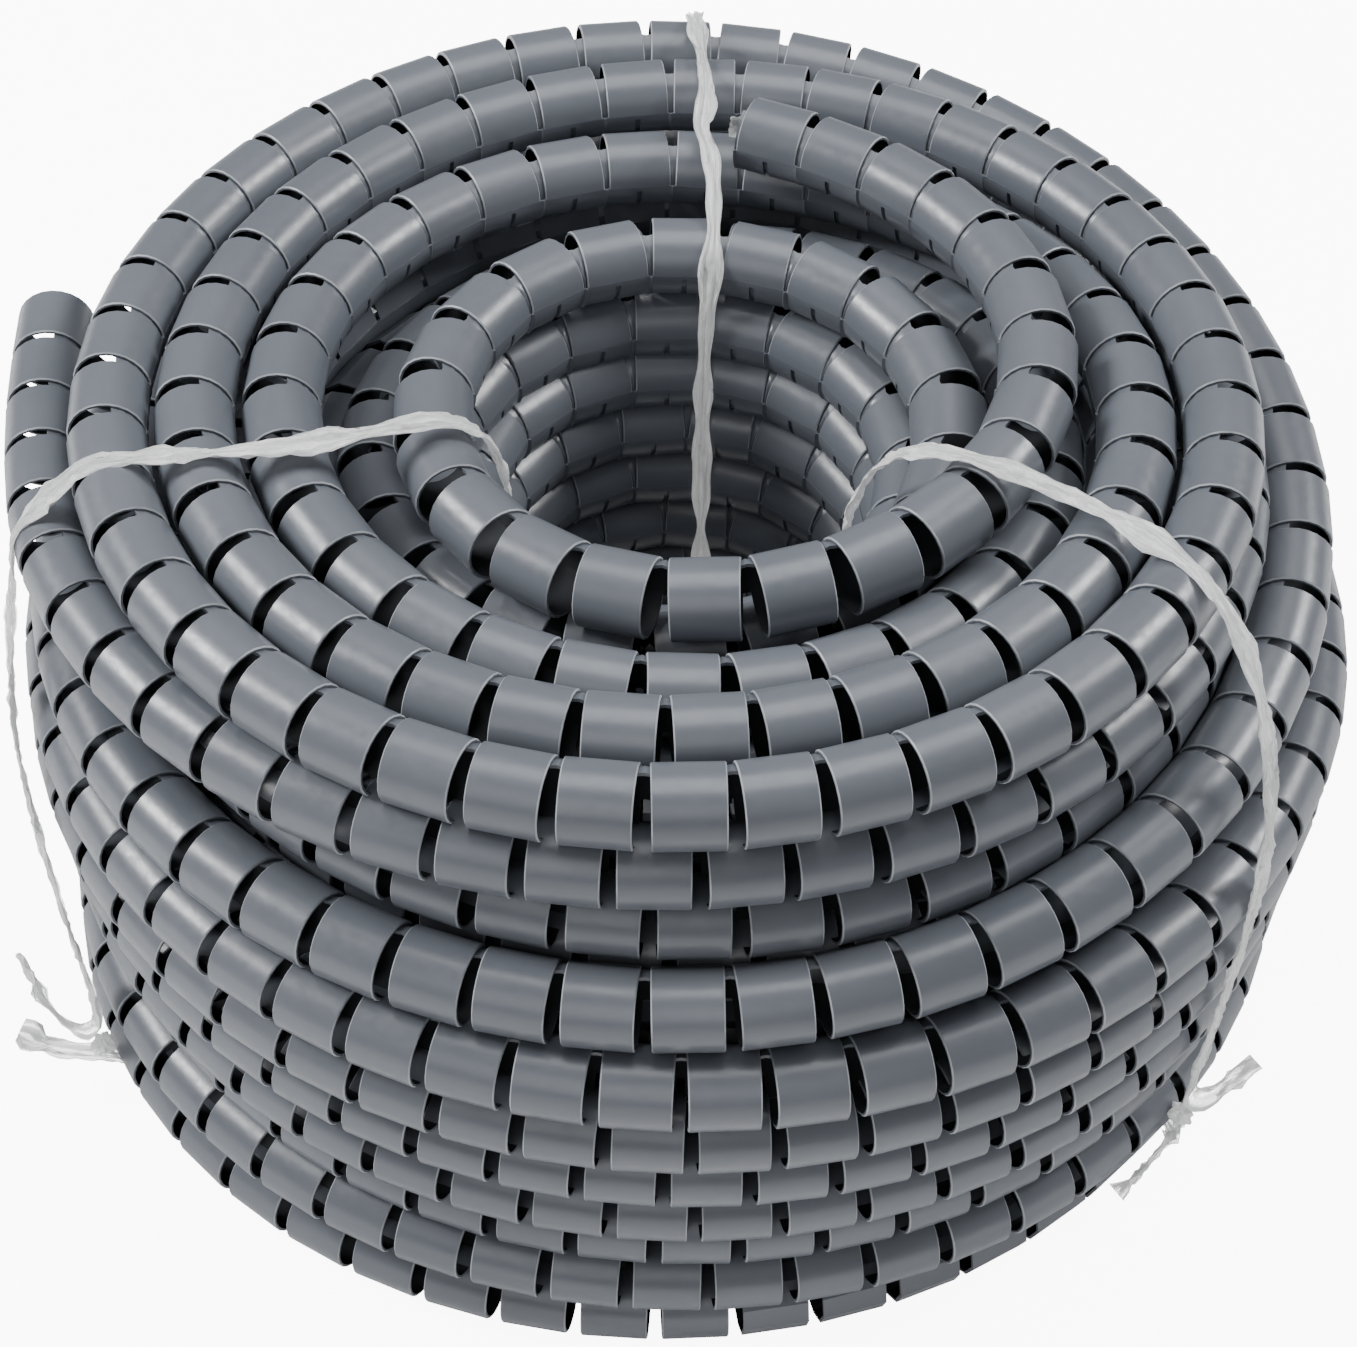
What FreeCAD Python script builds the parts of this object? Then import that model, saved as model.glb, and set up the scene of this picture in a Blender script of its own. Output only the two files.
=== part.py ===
"""Tree guard tube: one long slotted wrap-round sleeve, wound into a free-standing coil and held by three film ties.

Frame: +Z up, origin on the ground under the middle of the coil, millimetres.
Azimuths are degrees about +Z from +X, anticlockwise seen from above.
"""
import FreeCAD, Part
import math
import os

doc = FreeCAD.newDocument("tree_guard_tube")

# ---------------------------------------------------------------- sizes
SIZES = [
    ("tube_diameter", 28.0, "outside diameter of the closed sleeve"),
    ("tube_wall", 1.2, "wall of the sleeve"),
    ("level_count", 11, "levels of turns from the ground to the top"),
    ("level_rise", 23.8, "height from one level to the next: the turns nest"),
    ("eye_turn_radius", 84.0, "centre line of the turns round the eye"),
    ("outer_turn_radius", 235.0, "centre line of the widest outer turn, half way up"),
    ("belly", 12.0, "how far the ground and top turns lie inside the widest one"),
    ("shoulder_levels", 3, "top levels that step in further"),
    ("shoulder_step", 8.0, "how far each of them steps in"),
    ("top_turns", 5, "turns side by side on the top level"),
    ("ground_turns", 6, "turns side by side on the ground level"),
    ("rest_flat", 0.8, "how far the lowest turns are pressed flat"),
    ("end_gap", 0.3, "clearance between a free end and the coil it lies in"),
    ("tie_width", 9.0, "width of the crumpled film tie"),
    ("tie_film", 0.8, "thickness of the crumpled film tie"),
    ("tie_gap", 0.3, "clearance between tie and sleeve"),
    ("tie_lift", 0.2, "height of the tie's underside over the ground"),
    ("tie_corner", 40.0, "bend of the tie over the shoulder of the coil"),
    ("knot_radius", 6.0, "radius of a tie's knot"),
    ("tail_length", 32.0, "length of a tie's loose tail"),
    ("tail_width", 7.0, "width of a tie's loose tail"),
    ("scrap_length", 13.0, "length of the scrap of clear tape"),
    ("scrap_width", 8.0, "width of the scrap of clear tape"),
    ("scrap_film", 0.4, "thickness of the scrap of clear tape"),
]
sheet = doc.addObject("Spreadsheet::Sheet", "Sizes")
for row, (alias, value, meaning) in enumerate(SIZES, start=1):
    sheet.set(f"A{row}", alias)
    sheet.set(f"B{row}", str(value))
    sheet.set(f"C{row}", meaning)
    sheet.setAlias(f"B{row}", alias)
doc.recompute()
size = {alias: float(sheet.get(alias)) for alias, _, _ in SIZES}
levels = int(size["level_count"])
shoulders = int(size["shoulder_levels"])
top_turns = int(size["top_turns"])
ground_turns = int(size["ground_turns"])

# The same lengths as expressions, for the objects that are bound to the sheet.
GROUND_LEVEL = "(Sizes.tube_diameter / 2 - Sizes.rest_flat)"
TOP_LEVEL = f"({GROUND_LEVEL} + (Sizes.level_count - 1) * Sizes.level_rise)"
GROUND_OUTER = "(Sizes.outer_turn_radius - Sizes.belly)"
TOP_OUTER = f"({GROUND_OUTER} - Sizes.shoulder_levels * Sizes.shoulder_step)"
TIE_INSIDE = "(Sizes.tie_lift + Sizes.tie_film)"
SIDE_WALL = "(Sizes.outer_turn_radius + Sizes.tube_diameter / 2 + Sizes.tie_gap)"

ground_z = size["tube_diameter"] / 2 - size["rest_flat"]
top_z = ground_z + (levels - 1) * size["level_rise"]


def bind(thing, **expressions):
    """Bind properties of an object to the sheet; a double underscore in a name stands for a dot."""
    for name, expression in expressions.items():
        thing.setExpression(name.replace("__", "."), expression)
    return thing


def polar(radius, azimuth, height):
    """The point at a radius, azimuth and height."""
    angle = math.radians(azimuth)
    return FreeCAD.Vector(radius * math.cos(angle), radius * math.sin(angle), height)


# ---------------------------------------------------------------- coil
def turn(name, radius, height):
    """One full turn of the sleeve, as the torus it fills."""
    ring = doc.addObject("Part::Torus", name)
    return bind(ring, Radius1=radius, Radius2="Sizes.tube_diameter / 2", Placement__Base__z=height)


def band(name, outer, low, height):
    """The solid ring inside the turns, from the middle of the eye's turns to the middle of the outer ones."""
    disc = doc.addObject("Part::Cylinder", name + "_disc")
    bind(disc, Radius=outer, Height=height, Placement__Base__z=low)
    eye = doc.addObject("Part::Cylinder", name + "_eye")
    bind(eye, Radius="Sizes.eye_turn_radius", Height=height, Placement__Base__z=low)
    ring = doc.addObject("Part::Cut", name)
    ring.Base = disc
    ring.Tool = eye
    return ring


def outer_radius(level):
    """The outermost turn's radius on a level: a round belly, with a shoulder that steps in at the top."""
    middle = "((Sizes.level_count - 1) / 2)"
    steps = max(0, level - (levels - 1 - shoulders))
    return (f"Sizes.outer_turn_radius - Sizes.belly * (({level} - {middle}) / {middle}) ^ 2"
            f" - {steps} * Sizes.shoulder_step")


def make_coil(dents):
    """The coil's outer shape: turns round a solid core, an open eye, flat lands to rest on."""
    parts = []
    for level in range(levels):
        height = f"{GROUND_LEVEL} + {level} * Sizes.level_rise"
        parts.append(turn(f"outer_turn_{level}", outer_radius(level), height))
        parts.append(turn(f"eye_turn_{level}", "Sizes.eye_turn_radius", height))
    for count, outer, height, face in ((top_turns, TOP_OUTER, TOP_LEVEL, "top"),
                                       (ground_turns, GROUND_OUTER, GROUND_LEVEL, "ground")):
        for number in range(1, count - 1):
            share = f"{number} / {count - 1}"
            radius = f"Sizes.eye_turn_radius + ({outer} - Sizes.eye_turn_radius) * {share}"
            parts.append(turn(f"{face}_turn_{number}", radius, height))
    for level in range(levels - 1):
        outer = f"min({outer_radius(level)}; {outer_radius(level + 1)})"
        height = f"{GROUND_LEVEL} + {level} * Sizes.level_rise"
        parts.append(band(f"core_{level}", outer, height, "Sizes.level_rise"))
    whole = doc.addObject("Part::MultiFuse", "coil_whole")
    whole.Shapes = parts

    ground = doc.addObject("Part::Box", "ground")
    bind(ground, Length="4 * Sizes.outer_turn_radius", Width="4 * Sizes.outer_turn_radius",
         Height="Sizes.tube_diameter", Placement__Base__x="-2 * Sizes.outer_turn_radius",
         Placement__Base__y="-2 * Sizes.outer_turn_radius", Placement__Base__z="-Sizes.tube_diameter")
    away = doc.addObject("Part::MultiFuse", "coil_cuts")
    away.Shapes = [ground] + dents
    coil = doc.addObject("Part::Cut", "sleeve_coil")
    coil.Base = whole
    coil.Tool = away
    coil.Label = "sleeve_coil"
    return coil


# ---------------------------------------------------------------- free ends
def rounded_path(points, name):
    """Straight runs joined by tangent arcs, each as large as its two runs allow."""
    edges = []
    start = points[0]
    for before, corner, after in zip(points, points[1:], points[2:]):
        back = (before - corner).normalize()
        ahead = (after - corner).normalize()
        half = (math.pi - back.getAngle(ahead)) / 2
        reach = 0.45 * min((before - corner).Length, (after - corner).Length)
        radius = reach / math.tan(half)
        entry = corner + back * reach
        leave = corner + ahead * reach
        middle = corner + (back + ahead).normalize() * (radius / math.cos(half) - radius)
        edges.append(Part.LineSegment(start, entry).toShape())
        edges.append(Part.Arc(entry, middle, leave).toShape())
        print(f"{name}: radius {radius:.1f} mm at a turn of {math.degrees(2 * half):.1f} degrees")
        start = leave
    edges.append(Part.LineSegment(start, points[-1]).toShape())
    path = doc.addObject("Part::Feature", name + "_path")
    path.Shape = Part.Wire(edges)
    return path


def sweep_round(path, name, points, radius):
    """A solid rod of a radius along a route."""
    circle = doc.addObject("Part::Circle", name + "_circle")
    circle.Placement = FreeCAD.Placement(points[0], FreeCAD.Rotation(FreeCAD.Vector(0, 0, 1), points[1] - points[0]))
    bind(circle, Radius=radius)
    rod = doc.addObject("Part::Sweep", name)
    rod.Sections = [circle]
    rod.Spine = (path, [f"Edge{number}" for number in range(1, len(path.Shape.Edges) + 1)])
    rod.Solid = True
    return rod


def make_end(name, points):
    """A free end of the sleeve, hollow, and the trough that it lies in."""
    path = rounded_path(points, name)
    skin = sweep_round(path, name + "_skin", points, "Sizes.tube_diameter / 2")
    bore = sweep_round(path, name + "_bore", points, "Sizes.tube_diameter / 2 - Sizes.tube_wall")
    trough = sweep_round(path, name + "_trough", points, "Sizes.tube_diameter / 2 + Sizes.end_gap")
    end = doc.addObject("Part::Cut", name)
    end.Base = skin
    end.Tool = bore
    end.Label = name
    doc.recompute()
    outer = size["tube_diameter"] / 2
    section = math.pi * (outer ** 2 - (outer - size["tube_wall"]) ** 2)
    length = path.Shape.Length
    print(f"{name}: length {length:.1f} mm, volume {end.Shape.Volume:.0f}, section x length {section * length:.0f}")
    return end, trough


def outer_end_route():
    """From the second level, out past the side of the coil: its cut end points to the back."""
    side = size["outer_turn_radius"]
    height = top_z - size["level_rise"]
    return [polar(side - 26, 217, height), polar(side - 13, 199, height + 1),
            polar(side - 1, 181, height + 2), polar(side + 9, 163, height + 2)]


def top_end_route():
    """The last part turn: from the eye it climbs onto the top level and ends at the back."""
    eye = size["eye_turn_radius"]
    height = top_z + size["tube_diameter"] / 2
    return [polar(eye + 34, -15, height - 6), polar(eye + 44, 7, height - 4), polar(eye + 52, 31, height - 3),
            polar(eye + 58, 56, height - 2), polar(eye + 62, 82, height - 1)]


# ---------------------------------------------------------------- ties
def rounded_block(name, gap, grow, width):
    """A block round the coil's section with rounded corners, a distance away from it."""
    inner = f"(Sizes.eye_turn_radius - Sizes.tube_diameter / 2 - {gap})"
    outer = f"(Sizes.outer_turn_radius + Sizes.tube_diameter / 2 + {gap})"
    floor = f"({TIE_INSIDE} + Sizes.tie_gap - {gap})"
    box = doc.addObject("Part::Box", name + "_box")
    bind(box, Length=f"{outer} - {inner}", Width=width,
         Height=f"{TOP_LEVEL} + Sizes.tube_diameter / 2 + {gap} - {floor}",
         Placement__Base__x=inner, Placement__Base__y=f"-{width} / 2", Placement__Base__z=floor)
    doc.recompute()
    middle = box.Shape.BoundBox.Center
    edges = []
    for number, edge in enumerate(box.Shape.Edges, start=1):
        first, last = [vertex.Point for vertex in edge.Vertexes]
        if abs(first.y - last.y) < abs(first.x - last.x) + abs(first.z - last.z):
            continue
        outer_side = first.x > middle.x
        upper = first.z > middle.z
        corner = size["tube_diameter"] / 7
        if upper:
            corner = size["tie_corner"] if outer_side else size["tube_diameter"] / 2
        edges.append((number, corner + grow, corner + grow))
    block = doc.addObject("Part::Fillet", name)
    block.Base = box
    block.Edges = edges
    return block


def make_tie(name, azimuth, knot_height, tails):
    """A strap of film round the coil's section, its knot, and its two loose tails."""
    gap = size["tie_gap"]
    outside = rounded_block(name + "_outside", "(Sizes.tie_gap + Sizes.tie_film)", gap + size["tie_film"],
                            "Sizes.tie_width")
    inside = rounded_block(name + "_inside", "Sizes.tie_gap", gap, "(2 * Sizes.tie_width)")
    strap = doc.addObject("Part::Cut", name + "_strap")
    strap.Base = outside
    strap.Tool = inside
    knot = doc.addObject("Part::Sphere", name + "_knot")
    bind(knot, Radius="Sizes.knot_radius", Placement__Base__x=f"{SIDE_WALL} + Sizes.knot_radius / 2")
    knot.Placement.Base.z = knot_height
    pieces = [strap, knot]
    for number, direction in enumerate(tails, start=1):
        tail = doc.addObject("Part::Box", f"{name}_tail_{number}")
        bind(tail, Length="Sizes.tail_width", Width="Sizes.tie_film", Height="Sizes.tail_length")
        spin = FreeCAD.Rotation(FreeCAD.Vector(0, 0, 1), FreeCAD.Vector(*direction))
        corner = spin.multVec(FreeCAD.Vector(-size["tail_width"] / 2, -size["tie_film"] / 2, 0))
        reach = size["outer_turn_radius"] + size["tube_diameter"] / 2 + gap + size["knot_radius"] / 2
        middle = FreeCAD.Vector(reach, 0, knot_height)
        tail.Placement = FreeCAD.Placement(middle + corner, spin)
        pieces.append(tail)
    tie = doc.addObject("Part::MultiFuse", name)
    tie.Shapes = pieces
    tie.Label = name
    tie.Placement = FreeCAD.Placement(FreeCAD.Vector(), FreeCAD.Rotation(FreeCAD.Vector(0, 0, 1), azimuth))
    return tie


def make_dent(name, azimuth):
    """The shallow channel that a tie presses into the lowest turns."""
    dent = doc.addObject("Part::Box", name + "_dent")
    bind(dent, Length="2 * Sizes.outer_turn_radius", Width="Sizes.tie_width + 2 * Sizes.tie_gap",
         Height=f"Sizes.tube_diameter + {TIE_INSIDE} + Sizes.tie_gap")
    half = (size["tie_width"] + 2 * size["tie_gap"]) / 2
    spin = FreeCAD.Rotation(FreeCAD.Vector(0, 0, 1), azimuth)
    dent.Placement = FreeCAD.Placement(spin.multVec(FreeCAD.Vector(0, -half, 0)), spin)
    dent.Placement.Base.z = -size["tube_diameter"]
    return dent


# ---------------------------------------------------------------- scrap of tape
def make_scrap(route):
    """The scrap of clear tape on the upper half of the top end's cut face."""
    scrap = doc.addObject("Part::Box", "tape_scrap")
    bind(scrap, Length="Sizes.scrap_film", Width="Sizes.scrap_width", Height="Sizes.scrap_length")
    spin = FreeCAD.Rotation(FreeCAD.Vector(1, 0, 0), route[-1] - route[-2])
    shift = spin.multVec(FreeCAD.Vector(size["end_gap"], -size["scrap_width"] / 2, size["tube_wall"]))
    scrap.Placement = FreeCAD.Placement(route[-1] + shift, spin)
    scrap.Label = "tape_scrap"
    return scrap


# name, azimuth, height of the knot, directions of its tails (outwards, along, up)
TIES = [("tie_left", 200, 30, ((0.35, -0.85, 0.4), (0.6, -0.3, 0.74))),
        ("tie_right", -30, 36, ((0.6, 0.45, 0.3), (0.25, -0.95, -0.2))),
        ("tie_back", 88, 60, ((0.15, 0.9, 0.3), (0.15, -0.9, -0.3)))]
outer_end, outer_trough = make_end("sleeve_outer_end", outer_end_route())
top_end, top_trough = make_end("sleeve_top_end", top_end_route())
dents = [make_dent(name, azimuth) for name, azimuth, _, _ in TIES]
coil = make_coil(dents + [outer_trough, top_trough])
ties = [make_tie(*tie) for tie in TIES]
scrap = make_scrap(top_end_route())
doc.recompute()

# ---------------------------------------------------------------- checks and files
subparts = [coil, outer_end, top_end, *ties, scrap]
for thing in doc.Objects:
    if "Invalid" in thing.State or "Error" in thing.State:
        raise RuntimeError(f"{thing.Label} failed: {thing.State}")
os.makedirs("parts", exist_ok=True)
for thing in subparts:
    shape = thing.Shape
    if shape.isNull() or not shape.isValid() or shape.Volume <= 0:
        raise RuntimeError(f"{thing.Label} has no valid solid")
for thing in subparts:
    shape = thing.Shape
    box = shape.BoundBox
    print(f"{thing.Label}: {len(shape.Solids)} solid, volume {shape.Volume / 1000:.1f} cm3, "
          f"x {box.XMin:.1f} {box.XMax:.1f}, y {box.YMin:.1f} {box.YMax:.1f}, z {box.ZMin:.1f} {box.ZMax:.1f}")
    shape.exportStep(f"parts/{thing.Label}.step")
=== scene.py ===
# %% [markdown]
# # A coil of tree guard tube
# The object is one long plastic sleeve with slots cut across it, wound into a free-standing ring and
# held by three twists of clear film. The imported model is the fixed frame: everything below keeps to
# its size and place.

# %% load the frame
import bpy
import math
import numpy as np
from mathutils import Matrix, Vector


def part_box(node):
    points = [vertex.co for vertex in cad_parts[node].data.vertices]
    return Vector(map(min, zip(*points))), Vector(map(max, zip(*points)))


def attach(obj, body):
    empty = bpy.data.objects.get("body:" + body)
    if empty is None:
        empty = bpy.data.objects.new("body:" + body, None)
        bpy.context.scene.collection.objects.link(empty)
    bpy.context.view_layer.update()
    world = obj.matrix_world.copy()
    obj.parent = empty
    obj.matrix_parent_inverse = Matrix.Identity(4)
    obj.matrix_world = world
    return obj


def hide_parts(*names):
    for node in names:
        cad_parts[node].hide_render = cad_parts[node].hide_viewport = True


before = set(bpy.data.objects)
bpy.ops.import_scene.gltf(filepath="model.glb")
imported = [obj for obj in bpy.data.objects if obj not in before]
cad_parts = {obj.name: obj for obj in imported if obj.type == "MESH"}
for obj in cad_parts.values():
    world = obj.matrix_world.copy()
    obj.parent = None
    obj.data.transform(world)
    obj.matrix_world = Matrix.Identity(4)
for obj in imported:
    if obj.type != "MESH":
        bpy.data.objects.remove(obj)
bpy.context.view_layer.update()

# %% the driving sizes
TUBE = 0.028                      # outside diameter of the closed sleeve
WALL = 0.0012                     # wall of the sleeve
PITCH = 0.935 * TUBE              # from one band to the next, along the line that keeps its length in a bend
BAND = 0.845 * TUBE               # width of one band
KEPT_LINE = 0.35 * TUBE           # how far inside the middle that line lies
coil_low, coil_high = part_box("sleeve_coil")
print("the packed coil goes from", coil_low, "to", coil_high)

# %% [markdown]
# ## Camera
# The camera looks down on the coil at about 45 degrees from a little over a metre, with a long lens,
# so that the ring keeps its round shape. It is aimed at a point near the middle of the coil.


# %% camera
def make_camera(target, depression, distance, lens):
    """Place a camera that looks level-headed along +Y and down by an angle, at a distance from its
    target."""
    data = bpy.data.cameras.new("camera")
    data.lens = lens
    data.sensor_width = 36.0
    camera = bpy.data.objects.new("camera", data)
    bpy.context.scene.collection.objects.link(camera)
    angle = math.radians(depression)
    back, up = distance * math.cos(angle), distance * math.sin(angle)
    camera.location = (target[0], target[1] - back, target[2] + up)
    camera.rotation_euler = (math.pi / 2 - angle, 0.0, 0.0)
    bpy.context.scene.camera = camera
    return camera


camera = make_camera(target=(-0.0025, -0.0130, 0.126), depression=45.56, distance=1.211, lens=85.3)
print("the camera stands at", [round(v, 3) for v in camera.location])

# %% [markdown]
# ## The sleeve's route
# The real coil was wound turn by turn, so its line is one spiral about the eye. It is described by
# stations: how many turns have passed (whole numbers are at the front, a quarter more is the right
# side), how far from the axis the line is there, and how high. smooth_walk then goes through the
# stations and places the control points of one smooth NURBS curve, sixteen to a turn. Distances are
# in tube diameters. Stacked turns nest about 0.85 of a diameter apart.
#
# It runs: the loose outer end, the outer turns going down, the ground level going in, the turns round
# the eye going up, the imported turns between, and the strand that bulges out at the front, climbs to
# the top and spirals in.

# %% stations of the route
outer_turns = [(-0.297, 8.72, 8.2), (-0.25, 8.38, 8.2), (-0.17, 7.92, 8.2), (-0.08, 7.40, 8.18),
               (0, 7.14, 8.15), (0.25, 7.0, 7.95), (0.5, 7.0, 7.73), (0.75, 7.25, 7.5), (1, 7.26, 7.3),
               (1.25, 6.75, 7.1), (1.5, 6.65, 6.9), (1.75, 6.85, 6.7), (2, 6.9, 6.45),
               (2.25, 8.1, 6.24), (2.5, 8.25, 6.0), (2.75, 8.3, 5.8), (3, 8.40, 5.6), (4, 8.36, 4.75),
               (5, 8.23, 3.9), (6, 8.15, 3.05), (7, 7.88, 2.2), (7.6, 7.95, 1.7), (7.83, 8.3, 1.5),
               (8, 7.96, 1.35), (8.6, 8.0, 0.75), (8.82, 8.35, 0.56), (9, 7.84, 0.5)]
ground_turns = [(10, 6.8, 0.5), (11, 5.76, 0.5), (12, 4.72, 0.5), (13, 3.7, 0.5), (13.75, 3.0, 0.5)]
eye_turns = [(14.75, 2.95, 1.32), (17, 2.75, 3.25), (19, 2.7, 5.0), (21, 2.8, 6.68), (22.5, 3.0, 7.85),
             (22.75, 3.25, 7.8), (23, 3.95, 7.0)]
core_turns = [(23.25, 3.95, 6.85), (29.25, 3.95, 1.4), (29.75, 4.9, 1.4), (35.75, 4.8, 7.3),
              (36.25, 5.75, 8.05), (42.25, 6.0, 1.4), (42.75, 7.05, 1.4), (47.25, 7.1, 6.15)]
top_turns = [(47.5, 7.6, 6.75), (47.75, 8.2, 6.6), (48, 7.93, 6.45), (48.125, 7.96, 6.75), (48.25, 7.95, 7.4),
             (48.375, 7.83, 8.3), (48.5, 7.63, 9.0)]
SPIRAL_START, SPIRAL_RADIUS, SPIRAL_PITCH, TOP_LEVEL = 48.75, 7.358, 1.09, 9.0
spiral = [(SPIRAL_START + turn, SPIRAL_RADIUS - SPIRAL_PITCH * turn, TOP_LEVEL) for turn in (0, 1, 2)]
under_the_cut_end = [(50.25, 5.72, 8.95), (50.42, 5.4, 8.5), (50.55, 5.25, 8.75)]
top_turns += [*spiral[:2], *under_the_cut_end, spiral[2]]
top_turns += [(51, 4.90, 8.55), (51.25, 4.62, 8.2), (51.5, 4.20, 7.85), (51.75, 4.05, 7.9),
              (52, 3.6, 8.0), (52.16, 3.45, 8.25), (52.25, 3.4, 8.6), (52.5, 3.12, 8.8),
              (52.75, 3.15, 8.95), (53, 3.78, 9.02), (53.12, 4.0, 9.2), (53.25, 4.5, 9.4),
              (53.48, 5.0, 9.46)]
# Each section has a name, its stations, and whether it is seen closely enough to need the fine grid.
SECTIONS = [("sleeve_outer_turns", outer_turns, True), ("sleeve_ground_turns", ground_turns, False),
            ("sleeve_eye_turns", eye_turns, True), ("sleeve_core_turns", core_turns, False),
            ("sleeve_top_turns", top_turns, True)]
for name, stations, _ in SECTIONS:
    print(name, "stations", len(stations), "turns", stations[0][0], "to", stations[-1][0])


# %% from stations to one smooth curve
def smooth_walk(stations, step=1 / 16):
    """Control points along the stations: radius and height run straight between stations and are then
    rounded with a bell-shaped running average about a fifth of a turn wide, whose ends are continued in
    line."""
    turns, radii, heights = np.array(stations).T
    fine = 1 / 128
    at = np.arange(turns[0], turns[-1] + fine / 2, fine)
    half = 12
    bell = np.hanning(2 * half + 3)[1:-1]
    bell /= bell.sum()
    rounded = []
    for values in (radii, heights):
        line = np.interp(at, turns, values)
        before = line[0] - (line[1] - line[0]) * np.arange(half, 0, -1)
        after = line[-1] + (line[-1] - line[-2]) * np.arange(1, half + 1)
        rounded.append(np.convolve(np.concatenate([before, line, after]), bell, mode="valid"))
    pick = np.unique(np.append(np.arange(0, len(at), int(step / fine)), len(at) - 1))
    return at[pick], rounded[0][pick], rounded[1][pick]


def wobble(turns, seed, swings, size):
    """A gentle unevenness: a sum of a few sine waves of random phase along the turns."""
    rng = np.random.default_rng(seed)
    total = np.zeros_like(turns)
    for swing in swings:
        total += np.sin(2 * math.pi * (turns * swing + rng.random())) * rng.uniform(0.5, 1.0)
    return size * total / len(swings)


def nurbs_line(name, points):
    """A smooth NURBS curve with these control points, order 3, that reaches both end points."""
    curve = bpy.data.curves.new(name, "CURVE")
    curve.dimensions = "3D"
    spline = curve.splines.new("NURBS")
    spline.points.add(len(points) - 1)
    spline.points.foreach_set("co", np.column_stack([points, np.ones(len(points))]).ravel())
    spline.order_u = 3
    spline.use_endpoint_u = True
    spline.resolution_u = 8
    return bpy.data.objects.new(name, curve)


def read_line(line):
    """The points along a curve with no bevel, in order."""
    mesh = bpy.data.meshes.new_from_object(line)
    points = np.empty(3 * len(mesh.vertices))
    mesh.vertices.foreach_get("co", points)
    bpy.data.meshes.remove(mesh)
    return points.reshape(-1, 3)


every_station = [station for _, stations, _ in SECTIONS for station in stations]
turns, radii, heights = smooth_walk(every_station)
raised = heights > 0.6             # the turns on the ground stay level
heights += wobble(turns, 3, (0.9, 1.7, 2.3), 0.025) * raised
radii += wobble(turns, 4, (1.1, 1.9, 2.7), 0.03)
angle = 2 * math.pi * turns - math.pi / 2
control_points = TUBE * np.column_stack([radii * np.cos(angle), radii * np.sin(angle), heights])
route = nurbs_line("sleeve_route", control_points)
line = read_line(route)
print("control points", len(control_points), "points read", len(line))


# %% frames along the route
def running(points):
    """Distance travelled at each point of a line."""
    return np.concatenate([[0.0], np.cumsum(np.linalg.norm(np.diff(points, axis=0), axis=1))])


def unit(vectors):
    """The same directions with a length of one."""
    return vectors / np.linalg.norm(vectors, axis=-1, keepdims=True)


travel = running(line)
LENGTH = travel[-1]
TIGHTEST = 2.3 * TUBE             # bends count as no tighter than this radius when bands are spaced


def place(distance):
    """Point, forward, upward and inward directions at distances along the sleeve. Inward points to the
    coil's axis, square to forward, and upward is square to both."""
    def at(where):
        return np.column_stack([np.interp(where, travel, line[:, axis]) for axis in range(3)])
    point = at(distance)
    reach = 0.2 * TUBE
    forward = unit(at(np.minimum(distance + reach, LENGTH)) - at(np.maximum(distance - reach, 0.0)))
    inward = -point * np.array([1.0, 1.0, 0.0])
    inward = unit(inward - forward * np.sum(inward * forward, axis=1, keepdims=True))
    return point, forward, unit(np.cross(forward, inward)), inward


def band_starts():
    """Where each band begins. A bend opens the slots on its outside, so the middle line needs more
    length per band there: the pitch is divided by one minus the kept line's offset over the bend's
    radius."""
    step, apart, blur = 0.002, 12, 41
    even = np.arange(0.0, LENGTH, step)
    heading = place(even)[1]
    turned = np.linalg.norm(heading[apart:] - heading[:-apart], axis=1)
    bend = np.interp(even, even[apart // 2:-apart // 2], turned / (apart * step))
    bend = np.convolve(np.pad(bend, blur // 2, mode="edge"), np.ones(blur) / blur, mode="valid")
    local = PITCH / (1.0 - KEPT_LINE * np.minimum(bend, 1 / TIGHTEST))
    count = np.concatenate([[0.0], np.cumsum(step / local[:-1])])
    whole = int(count[-1])
    return np.interp(np.arange(whole + 1) * count[-1] / whole, count, even)


starts = band_starts()
print("sleeve length", round(LENGTH, 2), "m, bands", len(starts) - 1)

# %% [markdown]
# ## The sleeve's shape
# The moulding is a row of stiff bands. Each band goes nearly once round the tube. Its first edge
# carries a narrow lip, slit once in the middle of each band, that joins it to its neighbours. Its last
# edge sinks a little over one wall and carries a wide flap, which joins the bands again and slides
# under the lip and the first edge, so the sleeve can be opened and wrapped round a trunk. Bands, lip
# and flap are thin shells with real thickness. They are worked out as grids of points: distance along
# the sleeve by angle round it, 0 on top and 90 towards the eye.

# %% sleeve geometry helpers
LIP_LOW, LIP_HIGH = 128.0, 84.0      # angles of the lip's two edges
SLIT_HIGH = 91.0                     # angle where the slits in the lip end
SLIT = 0.067 * TUBE                  # width of a slit in the lip
FLAP_START, FLAP_END = -236.0, -347.0
TUCK = 1.12 * WALL                   # how much deeper the flap and a band's hidden end lie
TUCK_FROM, TUCK_OVER = 178.0, 50.0   # angle where a band starts to sink, and the angle it takes
LIP_LAP, FLAP_LAP = 3.0, 4.0         # angles by which a band overlaps the lip and the flap
EDGE = 0.016 * TUBE                  # the small bevel on a band's rim


def rounded(points, forward, upward, inward, along, angle, radius):
    """Points on a straight tube piece: go along its middle line, then out by the radius at the angle."""
    turn = np.radians(angle)
    out = np.cos(turn)[..., None] * upward + np.sin(turn)[..., None] * inward
    return points + along[..., None] * forward + radius[..., None] * out


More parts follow.
